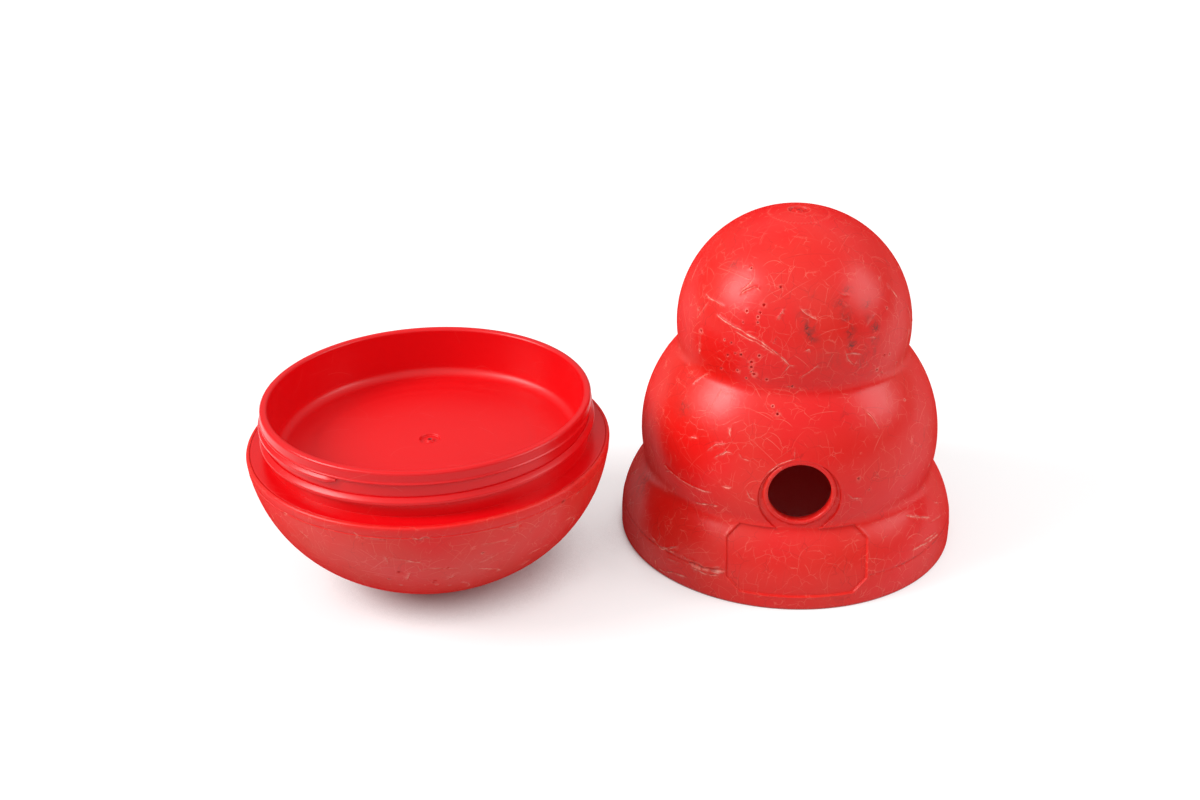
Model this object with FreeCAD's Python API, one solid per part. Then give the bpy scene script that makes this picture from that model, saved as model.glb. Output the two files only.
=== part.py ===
import FreeCAD, Part
import math
import os

from FreeCAD import Vector

# Wobble treat dispenser, taken apart: the weighted base stands on its round
# bottom and the hollow upper shell stands beside it on its open rim.
# Millimetres, +Z up, origin under the middle of the pair, -Y is the front.

# Upper shell: three stacked lobes, made as one hollow moulding
shell_h = 132.8        # open rim to crown
skirt_r = 66.0         # open rim, outside
band_h = 5.0           # straight band above the rim
shoulder_r = 36.0      # convex shoulder over the band
low_waist_r = 6.0      # concave waist between skirt and middle lobe
mid_lobe_r = 58.0      # middle lobe at its widest
mid_lobe_z = 43.0
mid_curve_r = 51.0     # profile radius of the middle lobe
high_waist_r = 6.0     # concave waist between middle and top lobe
top_lobe_r = 44.6      # top lobe, a ball
shell_wall = 3.8
rim_round = 0.9

# Dispensing hole and the field moulded round it and under it
hole_r = 11.6
hole_z = 44.2
hole_round = 0.9
ring_r = 15.2          # stepped ring round the hole
ring_z = 42.2          # its middle, lower than the hole's
field_w = 52.2         # cut-cornered field on the skirt
field_bottom_z = 5.6
field_top_z = 29.6
field_corner = 5.0
field_depth = 0.9

# Base: outer bowl
bowl_r = 67.6          # widest radius of the bowl
bowl_equator_z = 59.5  # height at which its side would stand upright
bowl_flatness = 7.4    # by how much the bottom's ball radius is larger
bowl_wall = 3.5
ledge_z = 56.5         # height of the rim and of the ledge inside it
bead_w = 1.6           # rim left outside the seam
bead_round = 1.0

# Base: screw cup set into the bowl
neck_h = 17.3          # ledge to lip
neck_r = 60.0          # root of the neck, under its screw ridge
neck_chamfer = 1.0     # at the foot of the neck, inside the bowl
thread_h = 1.9         # height of the screw ridge
thread_gap = 0.4       # running clearance between neck and shell
thread_top = 13.6      # ledge to the upper end of the room for the ridge
lip_clearance = 1.0    # shell's bore above the lip when screwed down
collar_h = 4.6         # thicker lip at the top of the neck
collar_t = 0.8
lip_wall = 3.0
lip_round = 1.1
cup_draft = 1.5        # degrees
cup_depth = 19.9
cup_crown = 0.5        # rise of the floor towards its middle
cup_corner_r = 4.0
cup_floor_t = 3.0
flange_t = 2.8
seam_gap = 0.1
spigot_h = 3.0

# Base: hidden weight and what holds it
weight_r = 38.0
weight_side = 3.21     # height of its upright side
weight_gap = 0.3       # weight to bowl
weight_round = 1.0
post_r = 30.0          # tube under the cup that keeps the weight down
post_wall = 2.5
rib_count = 6
rib_t = 2.0

# Moulding marks where the plastic was let in
gate_r = 4.2
gate_depth = 0.9
gate_nub_r = 1.5

# Where the two halves stand
spacing_x = 137.0
spacing_y = 35.5
shell_x = (spacing_x + bowl_r - skirt_r) / 2
shell_y = (spacing_y + bowl_r - skirt_r) / 2
base_x = shell_x - spacing_x
base_y = shell_y - spacing_y

# Sizes that follow from the ones above
bowl_bottom_r = bowl_r + bowl_flatness
weight_ball_r = bowl_bottom_r - bowl_wall - weight_gap
weight_edge_z = bowl_bottom_r - math.sqrt(weight_ball_r ** 2 - weight_r ** 2)
weight_top_z = weight_edge_z + weight_side
bore_r = neck_r + thread_h + thread_gap
collar_bore_r = neck_r + collar_t + thread_gap
bore_h = neck_h + lip_clearance
lip_z = ledge_z + neck_h
lip_in_r = neck_r + collar_t - lip_wall
floor_z = lip_z - cup_depth
floor_r = lip_in_r - cup_depth * math.tan(math.radians(cup_draft))
seam_r = bowl_r - bead_w

# Working values: tools that cut past the solid, and sizes taken as equal
far = 2 * shell_h
overrun = 5.0
close = 0.05


def point(r, z):
    return Vector(r, 0, z)


def line(a, b):
    return Part.LineSegment(a, b).toShape()


def arc(centre, start, end):
    """Arc from start to end round centre, the short way."""
    radius = (start - centre).Length
    middle = (start + end) * 0.5 - centre
    middle.normalize()
    return Part.Arc(start, centre + middle * radius, end).toShape()


def towards(a, b, distance):
    step = b - a
    step.normalize()
    return a + step * distance


def waist(c1, r1, c2, r2, fillet_r):
    """Centre of the concave arc that touches two lobes from outside."""
    a = r1 + fillet_r
    b = r2 + fillet_r
    d = (c2 - c1).Length
    along = (a * a - b * b + d * d) / (2 * d)
    out = math.sqrt(a * a - along * along)
    u = (c2 - c1) * (1 / d)
    n = Vector(u.z, 0, -u.x)
    return c1 + u * along + n * out


def revolved(edges):
    """Solid of a closed half outline turned about the vertical axis."""
    face = Part.Face(Part.Wire(Part.__sortEdges__(edges)))
    solid = face.revolve(Vector(0, 0, 0), Vector(0, 0, 1), 360)
    return solid if solid.Volume > 0 else solid.reversed()


def polygon(points):
    closed = points + points[:1]
    return [line(a, b) for a, b in zip(closed, closed[1:])]


def tube(outer, inner, z0, z1):
    ring = Part.makeCylinder(outer, z1 - z0, Vector(0, 0, z0))
    return ring.cut(Part.makeCylinder(inner, z1 - z0, Vector(0, 0, z0)))


def shell_body(inset):
    """The shell's outer form, all its surfaces moved inwards by inset."""
    shoulder = point(skirt_r - shoulder_r, band_h)
    middle = point(mid_lobe_r - mid_curve_r, mid_lobe_z)
    top = point(0, shell_h - top_lobe_r)
    low = waist(shoulder, shoulder_r, middle, mid_curve_r, low_waist_r)
    high = waist(middle, mid_curve_r, top, top_lobe_r, high_waist_r)
    rim = point(skirt_r - inset, 0)
    band = point(skirt_r - inset, band_h)
    s1 = towards(shoulder, low, shoulder_r - inset)
    m1 = towards(middle, low, mid_curve_r - inset)
    m2 = towards(middle, high, mid_curve_r - inset)
    t2 = towards(top, high, top_lobe_r - inset)
    crown = point(0, shell_h - inset)
    edges = [
        line(point(0, 0), rim),
        line(rim, band),
        arc(shoulder, band, s1),
        arc(low, s1, m1),
        arc(middle, m1, m2),
        arc(high, m2, t2),
        arc(top, t2, crown),
        line(crown, point(0, 0)),
    ]
    return revolved(edges)


def field_prism():
    """Cut-cornered field and ring, drawn on the front and run through it."""
    w = field_w / 2
    c = field_corner
    lo = field_bottom_z
    hi = field_top_z
    corners = [
        (-w, lo + c), (-w + c, lo), (w - c, lo), (w, lo + c),
        (w, hi - c), (w - c, hi), (-w + c, hi), (-w, hi - c),
    ]
    outline = Part.Face(Part.Wire(polygon([Vector(x, 0, z) for x, z in corners])))
    field = outline.extrude(Vector(0, -far, 0))
    ring = Part.makeCylinder(ring_r, far, Vector(0, 0, ring_z), Vector(0, -1, 0))
    return field.fuse(ring)


def gate_mark(z):
    """Small round moulding recess with a nub left in its middle, facing up at z."""
    return tube(gate_r, gate_nub_r, z - gate_depth, z + gate_depth)


def rounded(solid, radius, wanted):
    """Rounds the edges that the test picks."""
    edges = [e for e in solid.Edges if not e.Degenerated and wanted(e)]
    return solid.makeFillet(radius, edges)


def circle_at(z, r):
    def test(edge):
        curve = edge.Curve
        if curve.TypeId != "Part::GeomCircle":
            return False
        at_height = abs(curve.Center.z - z) < close
        return at_height and abs(curve.Radius - r) < close
    return test


def hole_edge(edge):
    """Outer edge of the dispensing hole: on its bore, in front of the wall."""
    box = edge.BoundBox
    across = max(abs(box.XMin), abs(box.XMax), abs(box.ZMin - hole_z), abs(box.ZMax - hole_z))
    in_front = box.YMax < -(mid_lobe_r - shell_wall)
    return across < hole_r + close and in_front and box.YLength < shell_wall


def screw_bore():
    """Stepped bore in the skirt: wide for the screw ridge, narrower for the lip."""
    foot = Vector(0, 0, -overrun)
    wide = Part.makeCylinder(bore_r, thread_top + overrun, foot)
    narrow = Part.makeCylinder(collar_bore_r, bore_h + overrun, foot)
    return [wide, narrow]


def upper_shell():
    solid = shell_body(0)
    solid = rounded(solid, rim_round, circle_at(0, skirt_r))
    below = Part.makeCylinder(far, bore_h)
    hollow = shell_body(shell_wall).cut(below)
    solid = solid.cut(hollow.multiFuse(screw_bore()))
    skin = shell_body(0).cut(shell_body(field_depth))
    solid = solid.cut(field_prism().common(skin))
    hole = Part.makeCylinder(hole_r, far, Vector(0, 0, hole_z), Vector(0, -1, 0))
    solid = solid.cut(hole)
    solid = rounded(solid, hole_round, hole_edge)
    solid = solid.cut(gate_mark(shell_h))
    return solid


def bowl_form(inset, top_z, edge_r=0):
    """The bowl's outer form below top_z, moved inwards by inset, its top edge rounded."""
    drop = bowl_bottom_r - bowl_equator_z
    side_r = (bowl_bottom_r ** 2 - bowl_r ** 2 - drop ** 2) / (2 * (bowl_bottom_r - bowl_r))
    ball = point(0, bowl_bottom_r)
    side = point(bowl_r - side_r, bowl_equator_z)
    bottom = point(0, inset)
    join = towards(ball, side, bowl_bottom_r - inset)
    bead_z = top_z - edge_r
    reach = math.sqrt((side_r - inset - edge_r) ** 2 - (bead_z - bowl_equator_z) ** 2)
    bead = point(side.x + reach, bead_z)
    rim = towards(side, bead, side_r - inset)
    top = point(bead.x, top_z)
    edges = [
        line(point(0, top_z), bottom),
        arc(ball, bottom, join),
        arc(side, join, rim),
        line(top, point(0, top_z)),
    ]
    if edge_r:
        edges.append(arc(bead, rim, top))
    return revolved(edges)


def outer_bowl():
    solid = bowl_form(0, ledge_z, bead_round)
    solid = solid.cut(bowl_form(bowl_wall, ledge_z))
    solid = solid.cut(Part.makeCylinder(seam_r, far, Vector(0, 0, ledge_z - flange_t)))
    return solid.fuse(weight_ribs())


def weight_ribs():
    """Radial ribs in the bowl that keep the weight in the middle."""
    inner = weight_r + weight_gap
    room = bowl_form(bowl_wall / 2, ledge_z)
    room = room.cut(Part.makeCylinder(inner, far, Vector(0, 0, 0)))
    ribs = []
    for k in range(rib_count):
        rib = Part.makeBox(far, rib_t, weight_top_z, Vector(0, -rib_t / 2, 0))
        rib.rotate(Vector(0, 0, 0), Vector(0, 0, 1), 360.0 * k / rib_count)
        ribs.append(rib.common(room))
    return ribs[0].multiFuse(ribs[1:])


def inner_cup():
    collar_r = neck_r + collar_t
    under_z = floor_z - cup_floor_t
    flange_z = ledge_z - flange_t
    flange_r = seam_r - seam_gap
    outside = [
        point(0, under_z),
        point(neck_r - neck_chamfer, under_z),
        point(neck_r, under_z + neck_chamfer),
        point(neck_r, flange_z),
        point(flange_r, flange_z),
        point(flange_r, ledge_z),
        point(neck_r, ledge_z),
        point(neck_r, lip_z - collar_h - collar_t),
        point(collar_r, lip_z - collar_h),
        point(collar_r, lip_z),
        point(0, lip_z),
    ]
    solid = revolved(polygon(outside))
    solid = rounded(solid, lip_round, circle_at(lip_z, collar_r))
    solid = solid.cut(cup_hollow())
    solid = rounded(solid, lip_round, circle_at(lip_z, lip_in_r))
    solid = solid.fuse(spigot())
    solid = solid.fuse(tube(post_r, post_r - post_wall, weight_top_z, under_z))
    return solid.cut(gate_mark(floor_z + cup_crown))


def cup_hollow():
    """Drafted well with a rounded foot and a floor that rises in the middle."""
    slope = math.tan(math.radians(cup_draft))
    crown = point(0, floor_z + cup_crown)
    edge_r = floor_r - cup_corner_r
    dome_r = (edge_r ** 2 + cup_crown ** 2) / (2 * cup_crown)
    middle_r = edge_r / 2
    sag = dome_r - math.sqrt(dome_r ** 2 - middle_r ** 2)
    floor_edge = point(edge_r, floor_z)
    rise = cup_corner_r
    wall_foot = point(floor_r + rise * slope, floor_z + rise)
    corner = point(edge_r, floor_z + cup_corner_r)
    lift = math.sin(math.radians(45)) * cup_corner_r
    bend = point(corner.x + lift, corner.z - lift)
    edges = [
        Part.Arc(crown, point(middle_r, floor_z + cup_crown - sag), floor_edge).toShape(),
        Part.Arc(floor_edge, bend, wall_foot).toShape(),
        line(wall_foot, point(lip_in_r, lip_z)),
        line(point(lip_in_r, lip_z), point(0, lip_z)),
        line(point(0, lip_z), crown),
    ]
    return revolved(edges)


def spigot():
    """Ring under the flange that centres the cup in the bowl's mouth."""
    mouth = bowl_form(bowl_wall + seam_gap, ledge_z - flange_t)
    ring = tube(far, neck_r, ledge_z - flange_t - spigot_h, ledge_z - flange_t)
    ring = ring.common(mouth)
    return ring


def ballast_weight():
    """Lens-shaped cast weight, domed below to lie in the bowl."""
    blank = Part.makeCylinder(weight_r, weight_top_z)
    ball = Part.makeSphere(weight_ball_r, Vector(0, 0, bowl_bottom_r))
    solid = blank.common(ball)
    return rounded(solid, weight_round, circle_at(weight_top_z, weight_r))


def save(name, solid, x, y):
    solid = solid.removeSplitter()
    if solid.ShapeType == "Compound" and len(solid.Solids) == 1:
        solid = solid.Solids[0]
    solid.translate(Vector(x, y, 0))
    box = solid.optimalBoundingBox(False)
    print(f"{name}: {len(solid.Solids)} solid, valid {solid.isValid()}, "
          f"{solid.Volume / 1000:.1f} cm3, {len(solid.Faces)} faces, "
          f"x {box.XMin:.1f} to {box.XMax:.1f}, y {box.YMin:.1f} to {box.YMax:.1f}, "
          f"z {box.ZMin:.1f} to {box.ZMax:.1f}")
    solid.exportStep(f"parts/{name}.step")


os.makedirs("parts", exist_ok=True)
save("upper_shell", upper_shell(), shell_x, shell_y)
save("outer_bowl", outer_bowl(), base_x, base_y)
save("inner_cup", inner_cup(), base_x, base_y)
save("ballast_weight", ballast_weight(), base_x, base_y)
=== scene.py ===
# %% [markdown]
# # A wobble treat dispenser, taken apart
# The toy is two red plastic halves that screw together: a round-bottomed base with a
# screw cup in it, and a tall shell of three stacked lobes with a hole for the treats.
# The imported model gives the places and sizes. This lesson gives the halves their skin:
# crisp moulded edges, a screw ridge, tooth marks, scratches and dirt.

# %% Load the fixed frame
import math
import bmesh
import bpy
import numpy as np
from mathutils import Matrix, Vector
from mathutils.geometry import delaunay_2d_cdt


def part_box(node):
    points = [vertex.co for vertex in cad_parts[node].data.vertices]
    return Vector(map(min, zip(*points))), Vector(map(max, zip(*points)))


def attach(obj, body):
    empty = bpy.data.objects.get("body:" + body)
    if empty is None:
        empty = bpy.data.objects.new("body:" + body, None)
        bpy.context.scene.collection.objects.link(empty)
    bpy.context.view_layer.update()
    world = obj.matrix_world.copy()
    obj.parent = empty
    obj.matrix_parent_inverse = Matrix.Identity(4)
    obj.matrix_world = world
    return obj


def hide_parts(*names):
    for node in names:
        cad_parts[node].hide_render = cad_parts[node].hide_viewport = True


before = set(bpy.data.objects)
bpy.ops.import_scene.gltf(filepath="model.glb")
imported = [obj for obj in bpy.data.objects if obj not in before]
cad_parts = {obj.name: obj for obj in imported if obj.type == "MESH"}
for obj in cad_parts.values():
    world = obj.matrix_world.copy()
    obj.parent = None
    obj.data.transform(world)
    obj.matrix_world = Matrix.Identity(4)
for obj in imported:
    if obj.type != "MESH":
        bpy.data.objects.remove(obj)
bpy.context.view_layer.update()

MM = 0.001


def middle_of(node):
    low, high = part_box(node)
    return (low[0] + high[0]) / 2 / MM, (low[1] + high[1]) / 2 / MM


shell_at = middle_of("upper_shell")
base_at = middle_of("outer_bowl")
print("shell axis at", [round(v, 2) for v in shell_at], "base axis at", [round(v, 2) for v in base_at])

# %% [markdown]
# ## Outlines
# Every large surface here was turned or ground in a steel mould as a round form, so each
# is one half outline spun about a vertical axis. An outline is drawn from straight lines
# and arcs that touch, in millimetres, because those are what a mould maker's drawing has.
# Curves fitted through points would look lumpy in a long highlight.

# %% Lines and arcs of an outline
FINE = 0.25
TURN_ROUND = 2 * math.pi


def wrap(angle):
    """The same angle between minus and plus half a turn."""
    return (angle + math.pi) % TURN_ROUND - math.pi


def line_to(outline, end, step=FINE):
    start = np.array(outline[-1])
    way = np.array(end, float) - start
    count = max(1, math.ceil(np.hypot(*way) / step))
    outline += [tuple(start + way * k / count) for k in range(1, count + 1)]


def arc_to(outline, centre, end, step=FINE):
    """The short way round the centre from the outline's last point to end."""
    a = np.array(outline[-1]) - centre
    b = np.array(end) - centre
    start = math.atan2(a[1], a[0])
    sweep = wrap(math.atan2(b[1], b[0]) - start)
    radius = np.hypot(*a)
    count = max(3, math.ceil(abs(sweep) * radius / step))
    for k in range(1, count + 1):
        turn = start + sweep * k / count
        outline.append((centre[0] + radius * math.cos(turn), centre[1] + radius * math.sin(turn)))


def towards(a, b, distance):
    a = np.array(a, float)
    way = np.array(b, float) - a
    return a + way * distance / np.hypot(*way)


def waist(c1, r1, c2, r2, fillet_r):
    """Centre of the hollow arc that touches two lobes from outside."""
    a, b = r1 + fillet_r, r2 + fillet_r
    way = np.array(c2, float) - c1
    d = np.hypot(*way)
    along = (a * a - b * b + d * d) / (2 * d)
    u = way / d
    return c1 + u * along + np.array([u[1], -u[0]]) * math.sqrt(a * a - along * along)


# %% [markdown]
# ## The shell's form
# Skirt, middle lobe and top ball, with a hollow bend where two of them meet. The inner
# surface is the same outline moved in by the wall, so the moulding is even, and the
# skirt is bored out in two steps for the neck that screws into it.

# %% The shell's outer and inner outline
SHELL_H = 132.8
SKIRT_R = 66.0
BAND_H = 5.0
SHOULDER_BEND = 36.0
MIDDLE_R, MIDDLE_Z, MIDDLE_BEND = 58.0, 43.0, 51.0
TOP_R = 44.6
WAIST_BEND = 6.0
WALL = 3.8
RIM_ROUND = 0.9
BORE_R, BORE_TOP = 62.3, 13.6
COLLAR_BORE_R, COLLAR_BORE_TOP = 61.2, 18.3


def lobes(outline, inset):
    """Goes on from the band up over the three lobes to the crown."""
    shoulder = np.array([SKIRT_R - SHOULDER_BEND, BAND_H])
    middle = np.array([MIDDLE_R - MIDDLE_BEND, MIDDLE_Z])
    top = np.array([0.0, SHELL_H - TOP_R])
    low = waist(shoulder, SHOULDER_BEND, middle, MIDDLE_BEND, WAIST_BEND)
    high = waist(middle, MIDDLE_BEND, top, TOP_R, WAIST_BEND)
    arc_to(outline, shoulder, towards(shoulder, low, SHOULDER_BEND - inset))
    arc_to(outline, low, towards(middle, low, MIDDLE_BEND - inset))
    arc_to(outline, middle, towards(middle, high, MIDDLE_BEND - inset))
    arc_to(outline, high, towards(top, high, TOP_R - inset))
    arc_to(outline, top, (0.0, SHELL_H - inset))


outer_line = [(BORE_R, 0.0)]
line_to(outer_line, (SKIRT_R - RIM_ROUND, 0.0))
arc_to(outer_line, (SKIRT_R - RIM_ROUND, RIM_ROUND), (SKIRT_R, RIM_ROUND))
line_to(outer_line, (SKIRT_R, BAND_H))
lobes(outer_line, 0.0)

hollow = [(SKIRT_R - WALL, BAND_H)]
lobes(hollow, WALL)
inner_line = [(BORE_R, 0.0)]
line_to(inner_line, (BORE_R, BORE_TOP))
line_to(inner_line, (COLLAR_BORE_R, BORE_TOP + 0.8))
line_to(inner_line, (COLLAR_BORE_R, COLLAR_BORE_TOP))
above = [p for p in hollow if p[1] > COLLAR_BORE_TOP + 0.3]
line_to(inner_line, (above[0][0] + 0.3, COLLAR_BORE_TOP))
inner_line += above
print("outline points", len(outer_line), "outside,", len(inner_line), "inside")

# %% [markdown]
# ## A skin with its detail in it
# A plain spun grid wastes its faces on the smooth parts and has none for a tooth mark.
# So the surface is laid flat, points go where the detail is, and a Delaunay mesh joins
# them. The flat picture is a disc with the pole in the middle, stretched so that small
# circles stay round, as on a polar sea chart. Then near triangles stay well shaped.

# %% The flat picture of a turned surface


class Skin:
    """A turned surface, known by its angle from the front and its way s along the outline."""

    def __init__(self, outline, centre):
        self.rz = np.array(outline, float)
        self.centre = centre
        step = np.hypot(*np.diff(self.rz, axis=0).T)
        self.s = np.r_[0, np.cumsum(step)]
        between = np.maximum((self.rz[1:, 0] + self.rz[:-1, 0]) / 2, 1e-3)
        self.roll = np.r_[0, np.cumsum(step / between)]
        tangent = np.gradient(self.rz, self.s, axis=0)
        tangent /= np.hypot(*tangent.T)[:, None]
        climbs = self.rz[-1, 1] > self.rz[0, 1]
        self.normal = np.c_[tangent[:, 1], -tangent[:, 0]] * (1 if climbs else -1)
        first = np.argmax(self.rz[:, 1] > 0.01) if climbs else np.argmax(self.rz[:, 1])
        wall = slice(first, None) if climbs else slice(None, first, -1)
        self.wall = self.rz[wall, 1], self.s[wall]

    def r(self, s):
        return np.interp(s, self.s, self.rz[:, 0])

    def z(self, s):
        return np.interp(s, self.s, self.rz[:, 1])

    def s_at(self, z):
        """Way along the outline of a height on its outer side."""
        return np.interp(z, *self.wall)

    def flat(self, turn, s):
        g = np.exp(-np.interp(s, self.s, self.roll))
        return np.c_[g * np.sin(turn), -g * np.cos(turn)]

    def unflat(self, xy):
        g = np.maximum(np.hypot(*xy.T), 1e-12)
        return np.arctan2(xy[:, 0], -xy[:, 1]), np.interp(-np.log(g), self.roll, self.s)

    def place(self, turn, s, depth):
        """Points in millimetres, pushed in by depth."""
        r = self.r(s) - depth * np.interp(s, self.s, self.normal[:, 0])
        z = self.z(s) - depth * np.interp(s, self.s, self.normal[:, 1])
        return np.c_[self.centre[0] + r * np.sin(turn), self.centre[1] - r * np.cos(turn), z]


outer = Skin(outer_line, shell_at)
inner = Skin(inner_line, shell_at)
print("way up the outside", round(outer.s[-1], 1), "mm")

# %% Points of a skin: rows, loops and loose points


class Points:
    """Points and fixed edges of a flat picture, gathered before the mesh is made."""

    def __init__(self, skin):
        self.skin = skin
        self.turn, self.s, self.edges, self.count = [], [], [], 0

    def add(self, turn, s, closed=False):
        turn, s = np.broadcast_arrays(np.atleast_1d(turn), np.atleast_1d(s))
        if closed:
            index = np.arange(self.count, self.count + len(turn))
            self.edges += list(zip(index.tolist(), np.roll(index, -1).tolist()))
        self.turn.append(turn)
        self.s.append(s)
        self.count += len(turn)

    def row(self, s, spacing, count=None):
        """One ring round the axis. Every second ring is turned by half a step."""
        n = count or max(24, round(TURN_ROUND * float(self.skin.r(s)) / spacing))
        half = 0.5 * (len(self.s) % 2) if count is None else 0
        turn = (np.arange(n) + half) / n * TURN_ROUND - math.pi
        self.add(turn, np.full(n, s), closed=True)

    def rows(self, special, start, stop, spacing):
        """The special rows, and even ones that keep clear of them."""
        even = [w for w in np.arange(start, stop, 0.9 * spacing)
                if min(abs(w - s) for s in special) > 0.5]
        for way in sorted([*special, *even]):
            self.row(way, spacing)

    def drop(self, unwanted):
        """Forgets the points that a test picks out, and all fixed edges."""
        turn, s = np.concatenate(self.turn), np.concatenate(self.s)
        keep = ~unwanted(turn, s)
        self.turn, self.s, self.edges, self.count = [turn[keep]], [s[keep]], [], int(keep.sum())

    def mesh(self):
        turn, s = np.concatenate(self.turn), np.concatenate(self.s)
        xy = np.vstack([self.skin.flat(turn, s), [0, 0]])
        out = delaunay_2d_cdt([Vector(p) for p in xy.tolist()], self.edges, [], 0, 1e-10)
        found = np.array([tuple(v) for v in out[0]])
        faces = np.array([f for f in out[2] if len(f) == 3])
        return (*self.skin.unflat(found), faces)


# %% [markdown]
# ## The dispensing hole and the field under it
# Below the hole the mould has a loose insert, which leaves a shallow field with cut
# corners. A ring round the hole runs down into it, and between ring and field two horns
# of the skin stay standing. The hole has a rounded bead. All of this is drawn from the
# front as distances, and loops of fixed edges along those distances keep each step crisp.

# %% The hole, the ring and the field seen from the front
HOLE_R, HOLE_Z = 11.6, 44.2
RING_R, RING_Z = 15.2, 42.2
FIELD_W, FIELD_LOW, FIELD_HIGH, FIELD_CUT, FIELD_DEPTH = 52.2, 5.6, 29.6, 5.0, 0.9
STEP_W = 0.3
BEAD_R = 0.9
AROUND = 144


def recess_distance(x, z):
    """How far outside the ring and field a point lies. Inside it is negative."""
    ring = np.hypot(x, z - RING_Z) - RING_R
    a = np.abs(x) - FIELD_W / 2
    b = np.abs(z - (FIELD_LOW + FIELD_HIGH) / 2) - (FIELD_HIGH - FIELD_LOW) / 2
    field = np.maximum(np.maximum(a, b), (a + b + FIELD_CUT) / math.sqrt(2))
    return np.minimum(ring, field)


def recess_loop(inset, step=0.7):
    """The outline of ring and field together, moved inwards by inset."""
    w, lo, hi = FIELD_W / 2 - inset, FIELD_LOW + inset, FIELD_HIGH - inset
    c = FIELD_CUT - inset * (2 - math.sqrt(2))
    r = RING_R - inset
    mouth = math.sqrt(r * r - (RING_Z - hi) ** 2)
    loop = [(mouth, hi)]
    for corner in [(w - c, hi), (w, hi - c), (w, lo + c), (w - c, lo),
                   (-w + c, lo), (-w, lo + c), (-w, hi - c), (-w + c, hi), (-mouth, hi)]:
        line_to(loop, corner, step)
    start = math.atan2(hi - RING_Z, -mouth) % TURN_ROUND
    end = math.atan2(hi - RING_Z, mouth)
    count = math.ceil((start - end) * r / step)
    turns = [start + (end - start) * k / count for k in range(1, count)]
    return np.array(loop + [(r * math.cos(t), RING_Z + r * math.sin(t)) for t in turns])


def front(skin, x, z):
    """Angle and way along the outline of a point that is seen from the front."""
    s = skin.s_at(z)
    return np.arcsin(x / skin.r(s)), s


def off_hole(skin, turn, s):
    """How far a point in front is from the hole's axis. One at the back is infinitely far."""
    far = np.hypot(skin.r(s) * np.sin(turn), skin.z(s) - HOLE_Z)
    return np.where(np.cos(turn) > 0, far, np.inf)


around = np.arange(AROUND) / AROUND * TURN_ROUND
bead_rows = BEAD_R * (1 - np.cos(np.radians([0, 22, 45, 68, 90, 112, 135, 158, 180])))
print("bead rows", np.round(bead_rows, 2), "recess loop", len(recess_loop(0)), "points")

# %% [markdown]
# ## Tooth marks
# A dog's teeth plough furrows with a raised burr on each side, and prick small pits. The
# main ones are placed where the real toy has them, by angle from the front and height.
# More are scattered by a fixed seed, so that the sides and the back are worn as well.
# They are cut into the mesh, because light has to catch their edges.

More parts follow.
